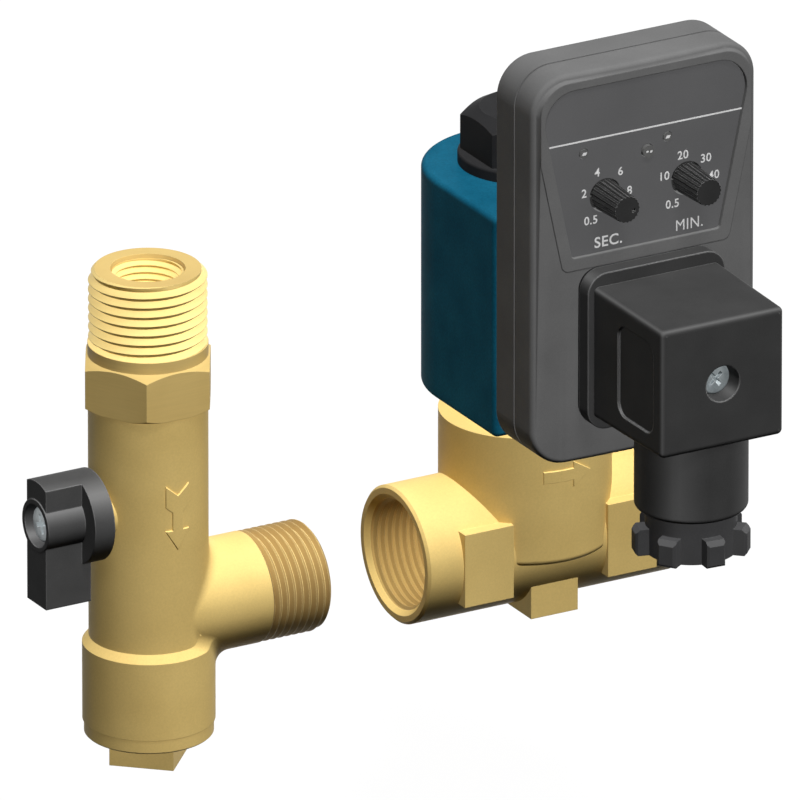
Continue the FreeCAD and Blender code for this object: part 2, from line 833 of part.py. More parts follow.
def timer_rear_shell():
    shell = case_block(0, timer_rear, timer_parting - parting_groove)
    rim = [e for e in shell.Edges if e.BoundBox.YLength < 0.01 and e.CenterOfMass.y > -timer_rear - 0.1]
    shell = shell.makeFillet(timer_rear_edge, rim)
    lip = case_block(parting_groove, timer_parting - 2 * parting_groove, timer_parting)
    inside = case_block(timer_wall, timer_rear + timer_wall, timer_parting)
    posts = []
    for x in (-1, 1):
        for z in (timer_bottom + timer_wall + post_inset, timer_top - timer_wall - post_inset):
            base = V(x * (timer_half_width - timer_wall - post_inset), -timer_rear - timer_wall, z)
            posts.append(cylinder(post_radius, board_gap, base, FRONT))
    sleeve = cylinder(screw_hole + boss_wall, timer_rear_depth, V(0, -timer_rear, plug_height), FRONT)
    shell = shell.fuse(lip).cut(inside).fuse(posts + [sleeve])
    cuts = blades(timer_rear, timer_rear + timer_wall, blade_slack)
    cuts.append(screw_way(timer_rear, timer_parting))
    save_valve("timer_rear_shell", shell.cut(cuts).removeSplitter())


def panel_prism(grow, small_corner, rear, front):
    """The panel's outline: narrow foot, leaning sides, round top corners."""
    foot = panel_bottom - grow
    head = panel_top + grow
    foot_half = panel_bottom_half + grow - panel_lean * grow
    head_half = foot_half + panel_lean * (head - foot)
    corners = [V(-foot_half, -rear, foot), V(foot_half, -rear, foot), V(head_half, -rear, head),
               V(-head_half, -rear, head)]
    prism = Part.Face(Part.makePolygon(corners + corners[:1])).extrude(V(0, rear - front, 0))
    upright = edges_along(prism, FRONT)
    top = [e for e in upright if e.CenterOfMass.z > head - 1]
    prism = prism.makeFillet(panel_corner + grow, top)
    bottom = [e for e in edges_along(prism, FRONT) if e.CenterOfMass.z < foot + 1]
    return prism.makeFillet(small_corner, bottom)


def knob_x(side):
    return knob_centre + side * knob_spacing / 2


def front_holes(rear, front):
    """Ways through the front for the knobs, the lamps and the test button."""
    holes = []
    for side in (-1, 1):
        holes.append(cylinder(knob_base_radius + working, front - rear, V(knob_x(side), -rear, knob_height), FRONT))
    for x in lamp_places:
        holes.append(cylinder(lamp_radius + loose, front - rear, V(x, -rear, lamp_height), FRONT))
    holes.append(cylinder(button_radius + loose, front - rear, V(button_place, -rear, button_height), FRONT))
    return holes


def timer_front_shell():
    case = case_block(0, timer_parting, timer_front).common(crowned_space())
    rim = [e for e in case.Edges if e.BoundBox.YMax < -timer_front + timer_crown + 0.05]
    case = case.makeFillet(timer_front_edge, rim)
    bezel = panel_prism(bezel_width, bezel_corner, timer_parting + timer_wall, timer_front + bezel_rise)
    bezel = bezel.common(case_block(bezel_margin, timer_parting, timer_front + bezel_rise))
    recess = panel_prism(0, panel_small_corner, panel_face - panel_plate, timer_front + bezel_rise)
    inside = case_block(timer_wall, timer_parting, timer_front - timer_crown - timer_wall)
    sleeve = cylinder(screw_hole + boss_wall, timer_front_depth - timer_wall, V(0, -timer_parting, plug_height), FRONT)
    shell = case.fuse(bezel).cut([inside, recess]).fuse(sleeve)
    cuts = front_holes(timer_parting, timer_front + bezel_rise)
    cuts.append(screw_way(timer_parting, timer_front + bezel_rise))
    save_valve("timer_front_shell", shell.cut(cuts).removeSplitter())


def timer_panel():
    plate = panel_prism(-loose, panel_small_corner, panel_face - panel_plate, panel_face)
    save_valve("timer_panel", plate.cut(front_holes(panel_face - panel_plate, panel_face)))


def circuit_board():
    inset = timer_wall + board_margin
    board = case_block(inset, board_rear, board_front)
    hole = cylinder(screw_hole + boss_wall + working, board_thickness, V(0, -board_rear, plug_height), FRONT)
    slots = blades(board_rear, board_front, blade_slack)
    save_valve("circuit_board", board.cut([hole] + slots))


def potentiometers():
    blocks = []
    for side in (-1, 1):
        x = knob_x(side)
        block = box(x - pot_half, x + pot_half, -board_front - pot_depth, -board_front,
                    knob_height - pot_half, knob_height + pot_half)
        hole = cylinder(knob_shaft_radius + running, pot_depth, V(x, -board_front, knob_height), FRONT)
        blocks.append(block.cut(hole))
    save_valve("potentiometers", *blocks)


def ribbed_outline(radius, x, depth):
    """A ring of small ribs: every second corner stands back by the rib's depth."""
    corners = []
    for step in range(2 * knob_ribs):
        angle = math.pi * step / knob_ribs
        reach = radius - knob_rib_depth * (step % 2)
        corners.append(V(x + reach * math.cos(angle), -depth, knob_height + reach * math.sin(angle)))
    return Part.makePolygon(corners + corners[:1])


def knob(name, side):
    x = knob_x(side)
    foot = panel_face - knob_sink
    grip = Part.makeLoft([ribbed_outline(knob_base_radius, x, foot),
                          ribbed_outline(knob_tip_radius, x, foot + knob_length)], True, True)
    length = foot - board_front - pot_depth + knob_shaft_grip
    shaft = cylinder(knob_shaft_radius, length, V(x, -foot, knob_height), V(0, 1, 0))
    save_valve(name, grip.fuse(shaft))


def indicator_lamps():
    length = panel_face - board_front + lamp_stand
    lamps = [cylinder(lamp_radius, length, V(x, -board_front, lamp_height), FRONT) for x in lamp_places]
    save_valve("indicator_lamps", *lamps)


def test_switch():
    block = box(button_place - switch_half, button_place + switch_half, -board_front - switch_depth, -board_front,
                button_height - switch_half, button_height + switch_half)
    save_valve("test_switch", block)


def test_button():
    foot = board_front + switch_depth + button_travel + button_slack
    tip = panel_face + button_rise
    save_valve("test_button", cylinder(button_radius, tip - foot, V(button_place, -foot, button_height), FRONT))


# Connector and gland, about the same origin

def plug_block(half_width, half_height, corner, rear, front):
    return rounded_box(-half_width, half_width, -front, -rear, plug_height - half_height, plug_height + half_height,
                       FRONT, corner)


def connector_gasket():
    inset = working
    sheet = plug_block(connector_base_half_width - inset, connector_base_half_height - inset,
                       connector_base_corner - inset, timer_front, connector_base_rear)
    save_valve("connector_gasket", sheet.cut(screw_way(timer_front, connector_base_rear)))


def connector_base():
    block = plug_block(connector_base_half_width, connector_base_half_height, connector_base_corner,
                       connector_base_rear, connector_rear)
    save_valve("connector_base", block.cut(screw_way(connector_base_rear, connector_rear)))


def connector_pins():
    save_valve("connector_pins", *blades(connector_rear, connector_rear + pin_reach, 0))


def connector_insert():
    rear = connector_rear
    front = rear + insert_depth
    block = plug_block(insert_half_width, insert_half_height, insert_corner, rear + working, front)
    cuts = blades(rear, rear + pin_reach + pin_slack, blade_slack)
    cuts.append(screw_way(rear, front))
    save_valve("connector_insert", block.cut(cuts))


def frustum(rear_half_width, rear_half_height, front_half_width, front_half_height, rear, front):
    wires = []
    for half_width, half_height, depth in ((rear_half_width, rear_half_height, rear),
                                           (front_half_width, front_half_height, front)):
        corners = [V(x * half_width, -depth, plug_height + z * half_height)
                   for x, z in ((-1, -1), (1, -1), (1, 1), (-1, 1))]
        wires.append(Part.makePolygon(corners + corners[:1]))
    return Part.makeLoft(wires, True, True)


def connector_housing():
    rear_half = connector_half_width + connector_taper
    rear_height = connector_half_height + connector_taper
    block = frustum(rear_half, rear_height, connector_half_width, connector_half_height,
                    connector_rear, connector_front)
    soft = [e for e in block.Edges if e.CenterOfMass.y < -connector_rear - 1]
    block = block.makeFillet(connector_edge, soft)
    barrel_top = plug_height - connector_half_height + connector_wall
    barrel = cylinder(gland_radius, barrel_top - gland_bottom, V(0, -gland_centre, gland_bottom))
    barrel = barrel.makeFillet(gland_round, [e for e in barrel.Edges if e.BoundBox.ZMax < gland_bottom + 1])
    neck = cylinder(neck_radius, throat_top - neck_foot, V(0, -gland_centre, neck_foot))
    body = block.fuse([barrel, neck])
    inside = box(-connector_half_width + connector_wall, connector_half_width - connector_wall,
                 -connector_front + connector_wall, -connector_rear,
                 barrel_top,
                 plug_height + connector_half_height - connector_wall)
    barrel_bore = cylinder(gland_bore, barrel_top + connector_wall - throat_top, V(0, -gland_centre, throat_top))
    throat = cylinder(throat_radius, throat_top - neck_foot, V(0, -gland_centre, neck_foot))
    body = body.cut([inside, barrel_bore, throat])
    sleeve_rear = connector_front - screw_recess_depth - connector_wall
    sleeve = cylinder(screw_recess_radius + connector_wall, connector_front - 1 - sleeve_rear,
                      V(0, -sleeve_rear, plug_height), FRONT)
    recess = cylinder(screw_recess_radius, screw_recess_depth,
                      V(0, -connector_front + screw_recess_depth, plug_height), FRONT)
    cuts = [recess, screw_way(sleeve_rear, connector_front)]
    low = plug_height - connector_half_height + side_panel_margin
    high = plug_height + connector_half_height - side_panel_margin
    for side in (-1, 1):
        near, far = sorted((side * (connector_half_width - side_panel_depth), side * (rear_half + 1)))
        cuts.append(rounded_box(near, far, -side_panel_front, -side_panel_rear, low, high, RIGHT, side_panel_corner))
    save_valve("connector_housing", body.fuse(sleeve).cut(cuts).removeSplitter())


def connector_screw():
    seat = connector_front - screw_recess_depth
    head = cylinder(screw_head_radius, screw_head_height, V(0, -seat, plug_height), FRONT)
    head = head.makeFillet(wall_break, [e for e in head.Edges if e.BoundBox.YMax < -seat - 1])
    length = seat - coil_front - screw_spare
    shank = cylinder(screw_shank_radius, length, V(0, -seat, plug_height), V(0, 1, 0))
    save_valve("connector_screw", head.fuse(shank))


def gland_grommet():
    foot = nut_floor_top + washer_thickness
    save_valve("gland_grommet", ring(throat_radius - loose, grommet_bore, grommet_length, V(0, -gland_centre, foot)))


def gland_washer():
    base = V(0, -gland_centre, nut_floor_top)
    save_valve("gland_washer", ring(throat_radius - loose, washer_bore, washer_thickness, base))


def gland_nut():
    centre = V(0, -gland_centre, gland_nut_bottom)
    height = gland_bottom - loose - gland_nut_bottom
    collar = cylinder(gland_nut_collar, height, centre)
    solids = []
    side = [V(0, 0, 0), V(gland_nut_radius - lobe_break, 0, 0), V(gland_nut_radius, 0, lobe_break),
            V(gland_nut_radius, 0, lobe_height - lobe_top_break), V(gland_nut_radius - lobe_top_break, 0, lobe_height),
            V(0, 0, lobe_height)]
    profile = Part.Face(Part.makePolygon(side + side[:1]))
    profile.translate(V(0, -lobe_width / 2, 0))
    for step in range(lobe_count):
        lobe = profile.extrude(V(0, lobe_width, 0))
        outer = [e for e in edges_along(lobe, UP) if e.CenterOfMass.x > gland_nut_radius - 0.1]
        lobe = lobe.makeChamfer(lobe_break, outer)
        lobe.rotate(V(0, 0, 0), UP, 360 / lobe_count * step + lobe_turn)
        lobe.translate(centre)
        solids.append(lobe)
    hole = cylinder(gland_nut_hole, height, centre)
    thread = cylinder(neck_radius + loose, height, V(0, -gland_centre, nut_floor_top))
    save_valve("gland_nut", collar.fuse(solids).cut([hole, thread]).removeSplitter())


def main():
    os.makedirs("parts", exist_ok=True)
    inlet_end()
    strainer_valve_body()
    ball_seats()
    ball()
    stem()
    stem_packing()
    handle()
    handle_screw()
    strainer_cap()
    strainer_cap_gasket()
    strainer_screen()
    drain_valve_body()
    bonnet()
    bonnet_seal()
    armature_tube()
    fixed_core()
    plunger()
    plunger_seal()
    plunger_spring()
    coil_housing()
    coil_frame()
    coil_bobbin()
    coil_winding()
    coil_nut()
    coil_terminal_base()
    coil_terminals()
    timer_gasket()
    timer_rear_shell()
    timer_front_shell()
    timer_panel()
    circuit_board()
    potentiometers()
    knob("sec_knob", -1)
    knob("min_knob", 1)
    indicator_lamps()
    test_switch()
    test_button()
    connector_gasket()
    connector_base()
    connector_pins()
    connector_insert()
    connector_housing()
    connector_screw()
    gland_grommet()
    gland_washer()
    gland_nut()


main()
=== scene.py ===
import bmesh
import bpy
import json
import math
from mathutils import Matrix, Vector


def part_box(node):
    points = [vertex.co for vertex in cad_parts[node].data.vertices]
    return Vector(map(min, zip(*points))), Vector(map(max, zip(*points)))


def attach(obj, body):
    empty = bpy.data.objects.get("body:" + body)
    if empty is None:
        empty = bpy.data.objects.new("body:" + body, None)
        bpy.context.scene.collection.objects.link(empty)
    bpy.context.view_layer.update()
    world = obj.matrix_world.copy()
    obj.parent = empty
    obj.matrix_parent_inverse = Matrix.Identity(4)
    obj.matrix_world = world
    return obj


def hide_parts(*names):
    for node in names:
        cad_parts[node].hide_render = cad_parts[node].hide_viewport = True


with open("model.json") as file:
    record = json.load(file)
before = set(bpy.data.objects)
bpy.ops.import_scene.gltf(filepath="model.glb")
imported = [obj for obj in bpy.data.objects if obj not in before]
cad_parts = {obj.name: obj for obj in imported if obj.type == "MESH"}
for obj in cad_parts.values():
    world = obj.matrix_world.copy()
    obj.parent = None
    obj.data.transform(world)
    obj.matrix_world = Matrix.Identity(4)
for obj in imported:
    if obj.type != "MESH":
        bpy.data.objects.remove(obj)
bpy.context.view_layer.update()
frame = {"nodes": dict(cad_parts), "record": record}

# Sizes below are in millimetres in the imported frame, unless a note says otherwise.
mm = 0.001
weld = 1e-7                                  # corners nearer than this are one, in metres
white = (1.0, 1.0, 1.0, 1.0)
nodes = frame["nodes"]
mounts = {mount["name"]: Vector(mount["pos_m"]) / mm for mount in frame["record"]["mounts"]}
# the drain valve's own origin: over its foot, on the line through its ports
valve = Vector((mounts["base_pad"].x, 0.0, mounts["outlet_port"].z))
print("frame loaded:", len(nodes), "nodes")


def linear(rgb):
    # 0..255 screen colour to the shader's linear colour
    return tuple(c / 255 / 12.92 if c <= 10 else ((c / 255 + 0.055) / 1.055) ** 2.4 for c in rgb) + (1.0,)


def addNode(tree, kind, x, y, **values):
    node = tree.nodes.new(kind)
    node.location = (x, y)
    for key, value in values.items():
        setattr(node, key, value)
    return node


def addRange(tree, x, y, source, reads, gives):
    # carries a value from one range over to another and stops at both ends
    node = addNode(tree, "ShaderNodeMapRange", x, y)
    node.inputs["From Min"].default_value, node.inputs["From Max"].default_value = reads
    node.inputs["To Min"].default_value, node.inputs["To Max"].default_value = gives
    tree.links.new(source, node.inputs["Value"])
    return node.outputs["Result"]


def addRamp(tree, x, y, source, stops):
    node = addNode(tree, "ShaderNodeValToRGB", x, y)
    for element, (position, colour) in zip(node.color_ramp.elements, stops):
        element.position = position
        element.color = colour
    tree.links.new(source, node.inputs["Fac"])
    return node.outputs["Color"]


def addMath(tree, x, y, operation, first, second):
    node = addNode(tree, "ShaderNodeMath", x, y, operation=operation)
    tree.links.new(first, node.inputs[0])
    tree.links.new(second, node.inputs[1])
    return node.outputs["Value"]


# how far a surface turns at a pale edge (wear and painted highlight) and at a wide moulded corner (painted
# highlight), how far up it looks, and the heights over which painted shade underneath and painted light on
# top grow
turns = dict(edge=(0.995, 0.88), corner=(0.98, 0.75), edgeRise=0.3,
             down=(-0.6, -0.1), up=(0.15, 0.65))
# the noises behind every finish: most of their change lies within the spans
noiseLook = dict(span=(0.3, 0.7), speckSpan=(0.35, 0.65), blotchDetail=4.0, grainDetail=6.0,
                 grainRough=0.6, edgeSamples=4)


def makeFinish(name, look):
    finish = bpy.data.materials.new(name)
    finish.use_nodes = True
    tree = finish.node_tree
    tree.nodes.clear()
    link = tree.links.new
    output = addNode(tree, "ShaderNodeOutputMaterial", 1100, 0)
    skin = addNode(tree, "ShaderNodeBsdfPrincipled", 800, 0)
    link(skin.outputs["BSDF"], output.inputs["Surface"])
    coords = addNode(tree, "ShaderNodeTexCoord", -1100, 0)

    # slow change of tone over the piece
    blotch = addNode(tree, "ShaderNodeTexNoise", -700, 300)
    blotch.inputs["Scale"].default_value = look["blotchScale"]
    blotch.inputs["Detail"].default_value = noiseLook["blotchDetail"]
    link(coords.outputs["Object"], blotch.inputs["Vector"])
    tones = zip(noiseLook["span"], (linear(look["dark"]), linear(look["light"])))
    tone = addRamp(tree, -450, 300, blotch.outputs["Fac"], tones)

    # fine grain, for colour, gloss and relief; stretched flat on turned pieces
    stretch = addNode(tree, "ShaderNodeMapping", -900, -100)
    stretch.inputs["Scale"].default_value = look.get("stretch", (1.0, 1.0, 1.0))
    link(coords.outputs["Object"], stretch.inputs["Vector"])
    grain = addNode(tree, "ShaderNodeTexNoise", -700, -100)
    grain.inputs["Scale"].default_value = look["grainScale"]
    grain.inputs["Detail"].default_value = noiseLook["grainDetail"]
    grain.inputs["Roughness"].default_value = noiseLook["grainRough"]
    link(stretch.outputs["Vector"], grain.inputs["Vector"])
    specks = zip(noiseLook["speckSpan"], ((1.0 - look["speck"],) * 3 + (1.0,), white))
    speck = addRamp(tree, -450, 50, grain.outputs["Fac"], specks)
    speckled = addNode(tree, "ShaderNodeMix", -150, 250, data_type="RGBA", blend_type="MULTIPLY")
    speckled.inputs["Factor"].default_value = 1.0
    link(tone, speckled.inputs["A"])
    link(speck, speckled.inputs["B"])

    # edges: rounded for the light, and a little paler, partly wear and partly painted highlight
    rounded = addNode(tree, "ShaderNodeBevel", -700, -400, samples=noiseLook["edgeSamples"])
    rounded.inputs["Radius"].default_value = look["edgeRadius"] * mm
    facing = addNode(tree, "ShaderNodeNewGeometry", -700, -600)
    turnAway = addNode(tree, "ShaderNodeVectorMath", -450, -450, operation="DOT_PRODUCT")
    link(rounded.outputs["Normal"], turnAway.inputs[0])
    link(facing.outputs["Normal"], turnAway.inputs[1])
    edge = addRange(tree, -250, -450, turnAway.outputs["Value"], turns["edge"], (0.0, look["edgeWearAndHighlight"]))

    # painted highlight from above: edges that look up keep the most pale edge, those that look down the
    # least
    split = addNode(tree, "ShaderNodeSeparateXYZ", -450, -700)
    link(rounded.outputs["Normal"], split.inputs["Vector"])
    height = split.outputs["Z"]
    edgeFrom = look.get("edgeFrom", -1.3)
    paintedHighlightFromAbove = addRange(tree, -250, -700, height, (edgeFrom, edgeFrom + turns["edgeRise"]), (0.0, 1.0))

    # painted highlight on moulded corners too wide for the edge mask: where the surface faces none of its
    # own axes squarely
    plain = addNode(tree, "ShaderNodeVectorMath", -900, -800, operation="ABSOLUTE")
    link(coords.outputs["Normal"], plain.inputs[0])
    axes = addNode(tree, "ShaderNodeSeparateXYZ", -700, -800)
    link(plain.outputs["Vector"], axes.inputs["Vector"])
    larger = addMath(tree, -500, -850, "MAXIMUM", axes.outputs["X"], axes.outputs["Y"])
    largest = addMath(tree, -350, -850, "MAXIMUM", larger, axes.outputs["Z"])
    corner = addRange(tree, -200, -850, largest, turns["corner"], (0.0, look.get("cornerHighlight", 0.0)))
    either = addMath(tree, -100, -600, "MAXIMUM", edge, corner)
    wearAndHighlightMask = addMath(tree, -50, -500, "MULTIPLY", either, paintedHighlightFromAbove)
    wornAndHighlightedEdges = addNode(tree, "ShaderNodeMix", 100, 200, data_type="RGBA")
    wornAndHighlightedEdges.inputs["B"].default_value = linear(look["edge"])
    link(wearAndHighlightMask, wornAndHighlightedEdges.inputs["Factor"])
    link(speckled.outputs["Result"], wornAndHighlightedEdges.inputs["A"])

    # on the brass, painted shade underneath and painted light on top, as light falls from above
    paintedShadeBelow = addRange(tree, -100, -950, height, turns["down"], (look.get("under", 1.0), 1.0))
    paintedLightAbove = addRange(tree, -100, -1200, height, turns["up"], (1.0, look.get("onTop", 1.0)))
    paintedLightAndShade = addNode(tree, "ShaderNodeVectorMath", 300, 200, operation="SCALE")
    link(wornAndHighlightedEdges.outputs["Result"], paintedLightAndShade.inputs[0])
    link(addMath(tree, 100, -1000, "MULTIPLY", paintedShadeBelow, paintedLightAbove), paintedLightAndShade.inputs["Scale"])
    link(paintedLightAndShade.outputs["Vector"], skin.inputs["Base Color"])

    roughRange = (look["rough"] - look["roughSpread"], look["rough"] + look["roughSpread"])
    gloss = addRange(tree, 100, -100, grain.outputs["Fac"], noiseLook["span"], roughRange)
    link(gloss, skin.inputs["Roughness"])
    relief = addNode(tree, "ShaderNodeBump", 450, -300)
    relief.inputs["Strength"].default_value = look["relief"]
    relief.inputs["Distance"].default_value = look["reliefDepth"] * mm
    link(grain.outputs["Fac"], relief.inputs["Height"])
    link(rounded.outputs["Normal"], relief.inputs["Normal"])
    link(relief.outputs["Normal"], skin.inputs["Normal"])

    skin.inputs["Metallic"].default_value = look.get("metal", 0.0)
    skin.inputs["Specular IOR Level"].default_value = look.get("specular", 0.3)
    skin.inputs["Specular Tint"].default_value = linear(look.get("tint", (255, 255, 255)))
    return finish


def giveFinish(piece, finish):
    piece.data.materials.clear()
    piece.data.materials.append(finish)


def makePiece(name, mesh, body, finish, sharp=35):
    piece = bpy.data.objects.new(name, mesh)
    bpy.context.scene.collection.objects.link(piece)
    oldNormals = mesh.attributes.get("custom_normal")
    if oldNormals:
        mesh.attributes.remove(oldNormals)
    for face in mesh.polygons:
        face.use_smooth = True
    mesh.set_sharp_from_angle(angle=math.radians(sharp))
    mesh.update()
    giveFinish(piece, finish)
    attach(piece, body)
    return piece


def meshFrom(name, bm):
    mesh = bpy.data.meshes.new(name)
    bm.to_mesh(mesh)
    bm.free()
    return mesh


# Finishes: the tones run from dark to light, sizes of edges and relief are in millimetres,
# under and onTop are shares of the tone on faces that look down and up: painted shade underneath and
# painted light on top.
finishLooks = {
    # cast brass, with painted shade underneath and painted light on top
    "castBrass": dict(dark=(210, 181, 112), light=(222, 193, 122), blotchScale=70, grainScale=2600,
                      speck=0.07, edge=(244, 226, 158), edgeWearAndHighlight=0.3, edgeRadius=0.15, rough=0.42,
                      roughSpread=0.03, relief=0.10, reliefDepth=0.06, specular=0.02,
                      tint=(235, 255, 130), under=0.78, onTop=1.25),
    "turnedBrass": dict(dark=(200, 171, 106), light=(212, 184, 117), blotchScale=60, grainScale=900,
                        speck=0.05, stretch=(0.12, 0.12, 3.0), edge=(246, 230, 162), edgeWearAndHighlight=0.35,
                        edgeRadius=0.12, rough=0.42, roughSpread=0.03, relief=0.08, reliefDepth=0.04,
                        specular=0.03, tint=(235, 255, 130)),
    # a lighter copy of the brass for the inlet's threads, painted light, with strong painted shade
    # underneath and painted light on top
    "threadBrassPaintedLight": dict(dark=(228, 200, 128), light=(240, 214, 142), blotchScale=60, grainScale=3000,
                        speck=0.05, edge=(250, 236, 172), edgeWearAndHighlight=0.3, edgeRadius=0.03, rough=0.42,
                        roughSpread=0.04, relief=0.08, reliefDepth=0.02, specular=0.1,
                        tint=(235, 255, 130), under=0.45, onTop=1.1),
    # a darker copy of the brass for the branch thread, painted shade in its grooves, with painted
    # highlights on its crests and painted shade underneath and painted light on top
    "threadBrassPaintedShade": dict(dark=(158, 128, 77), light=(172, 142, 89), blotchScale=60, grainScale=3000,
                       speck=0.05, edge=(250, 232, 166), edgeWearAndHighlight=0.9, edgeRadius=0.12, rough=0.42,
                       roughSpread=0.04, relief=0.08, reliefDepth=0.02, specular=0.12,
                       tint=(235, 255, 130), under=0.9, onTop=1.15),
    # a darker copy of the brass for the threads inside the ports, painted shade
    "boreBrassPaintedShade": dict(dark=(156, 128, 76), light=(170, 142, 87), blotchScale=60, grainScale=3000,
                      speck=0.05, edge=(240, 214, 146), edgeWearAndHighlight=0.5, edgeRadius=0.06, rough=0.42,
                      roughSpread=0.04, relief=0.08, reliefDepth=0.02, specular=0.1,
                      tint=(235, 255, 130)),
    "stainless": dict(dark=(150, 152, 156), light=(176, 178, 182), blotchScale=90, grainScale=1500,
                      speck=0.08, edge=(214, 216, 220), edgeWearAndHighlight=0.4, edgeRadius=0.15, rough=0.3,
                      roughSpread=0.06, relief=0.1, reliefDepth=0.05, metal=0.8, specular=0.5),
    "zincSteel": dict(dark=(120, 128, 132), light=(164, 172, 174), blotchScale=300, grainScale=3000,
                      speck=0.15, edge=(214, 220, 222), edgeWearAndHighlight=0.6, edgeRadius=0.12, rough=0.36,
                      roughSpread=0.08, relief=0.2, reliefDepth=0.04, metal=0.3, specular=0.5),
    "coilBlue": dict(dark=(18, 86, 112), light=(28, 100, 127), blotchScale=120, grainScale=2200,
                     speck=0.22, edge=(96, 158, 180), edgeWearAndHighlight=0.3, edgeRadius=0.35, rough=0.42,
                     roughSpread=0.07, relief=0.2, reliefDepth=0.06, specular=0.003),
    "timerGrey": dict(dark=(102, 102, 102), light=(111, 111, 111), blotchScale=80, grainScale=5200,
                      speck=0.10, edge=(58, 58, 58), edgeWearAndHighlight=0.7, edgeRadius=0.14, rough=0.5,
                      roughSpread=0.06, relief=0.18, reliefDepth=0.05, specular=0.003),
    "shellGrey": dict(dark=(104, 104, 104), light=(113, 113, 113), blotchScale=80, grainScale=5200,
                      speck=0.10, edge=(120, 120, 120), edgeWearAndHighlight=0.1, edgeRadius=0.3, rough=0.5,
                      roughSpread=0.06, relief=0.18, reliefDepth=0.05, specular=0.003),
    "panelGrey": dict(dark=(96, 96, 97), light=(102, 102, 103), blotchScale=60, grainScale=7000,
                      speck=0.08, edge=(124, 124, 125), edgeWearAndHighlight=0.15, edgeRadius=0.1, rough=0.6,
                      roughSpread=0.05, relief=0.1, reliefDepth=0.02, specular=0.06),
    # pale upper edges and rounded corners on the black plastic: painted highlights
    "blackPlastic": dict(dark=(59, 59, 59), light=(65, 65, 65), blotchScale=110, grainScale=4200,
                         speck=0.10, edge=(150, 150, 150), edgeWearAndHighlight=0.7, edgeRadius=0.45,
                         edgeFrom=-0.45, cornerHighlight=0.22, rough=0.34, roughSpread=0.03, relief=0.06,
                         reliefDepth=0.03, specular=0.003),
    "nutBlack": dict(dark=(64, 64, 65), light=(72, 72, 73), blotchScale=110, grainScale=4200,
                     speck=0.10, edge=(110, 110, 110), edgeWearAndHighlight=0.3, edgeRadius=0.2, edgeFrom=-0.2,
                     cornerHighlight=0.25, rough=0.34, roughSpread=0.03, relief=0.06, reliefDepth=0.03,
                     specular=0.003),
    "coilNutBlack": dict(dark=(42, 42, 43), light=(48, 48, 49), blotchScale=110, grainScale=4200,
                         speck=0.10, edge=(110, 110, 110), edgeWearAndHighlight=0.3, edgeRadius=0.2, edgeFrom=-0.2,
                         rough=0.34, roughSpread=0.03, relief=0.06, reliefDepth=0.03, specular=0.003),
    # a lighter copy of the black plastic for the handle, painted light standing in for highlights on its
    # curved faces
    "handleBlackPaintedLight": dict(dark=(70, 70, 70), light=(78, 78, 78), blotchScale=140, grainScale=4200,
                        speck=0.10, edge=(170, 170, 170), edgeWearAndHighlight=0.5, edgeRadius=0.35, edgeFrom=-0.2,
                        cornerHighlight=0.25, rough=0.36, roughSpread=0.03, relief=0.06, reliefDepth=0.03,
                        specular=0.003),
    "knobBlack": dict(dark=(40, 40, 40), light=(48, 48, 48), blotchScale=200, grainScale=5000,
                      speck=0.12, edge=(190, 190, 190), edgeWearAndHighlight=0.75, edgeRadius=0.06, rough=0.34,
                      roughSpread=0.05, relief=0.08, reliefDepth=0.02, specular=0.08),
    "rubber": dict(dark=(30, 30, 31), light=(38, 38, 39), blotchScale=150, grainScale=3500, speck=0.2,
                   edge=(60, 60, 61), edgeWearAndHighlight=0.2, edgeRadius=0.15, rough=0.75, roughSpread=0.08,
                   relief=0.25, reliefDepth=0.05, specular=0.06),
    "whitePtfe": dict(dark=(222, 222, 218), light=(234, 234, 230), blotchScale=150, grainScale=2500,
                      speck=0.05, edge=(240, 240, 238), edgeWearAndHighlight=0.2, edgeRadius=0.1, rough=0.5,
                      roughSpread=0.06, relief=0.1, reliefDepth=0.03, specular=0.3),
    "copperWire": dict(dark=(166, 92, 50), light=(196, 116, 66), blotchScale=200, grainScale=900,
                       speck=0.3, stretch=(0.2, 0.2, 4.0), edge=(220, 150, 100), edgeWearAndHighlight=0.3,
                       edgeRadius=0.1, rough=0.35, roughSpread=0.08, relief=0.6, reliefDepth=0.15,
                       metal=0.7, specular=0.5),
    "bobbinCream": dict(dark=(206, 198, 176), light=(218, 210, 190), blotchScale=150, grainScale=3000,
                        speck=0.08, edge=(230, 224, 206), edgeWearAndHighlight=0.2, edgeRadius=0.15, rough=0.55,
                        roughSpread=0.06, relief=0.1, reliefDepth=0.03, specular=0.25),
    "boardGreen": dict(dark=(24, 84, 52), light=(32, 100, 62), blotchScale=250, grainScale=3000,
                       speck=0.15, edge=(170, 160, 110), edgeWearAndHighlight=0.3, edgeRadius=0.15, rough=0.45,
                       roughSpread=0.06, relief=0.1, reliefDepth=0.03, specular=0.3),
    "smokedLens": dict(dark=(90, 90, 90), light=(100, 100, 99), blotchScale=900, grainScale=3000,
                       speck=0.1, edge=(90, 90, 90), edgeWearAndHighlight=0.3, edgeRadius=0.03, rough=0.3,
                       roughSpread=0.05, relief=0.1, reliefDepth=0.02, specular=0.15),
    # white of the print, also used for the painted glints on the lamps
    "printAndGlintWhite": dict(dark=(222, 222, 222), light=(236, 236, 236), blotchScale=400, grainScale=6000,
                       speck=0.10, edge=(238, 238, 238), edgeWearAndHighlight=0.1, edgeRadius=0.02, rough=0.6,
                       roughSpread=0.06, relief=0.1, reliefDepth=0.01, specular=0.06),
}
finishes = {name: makeFinish(name, look) for name, look in finishLooks.items()}

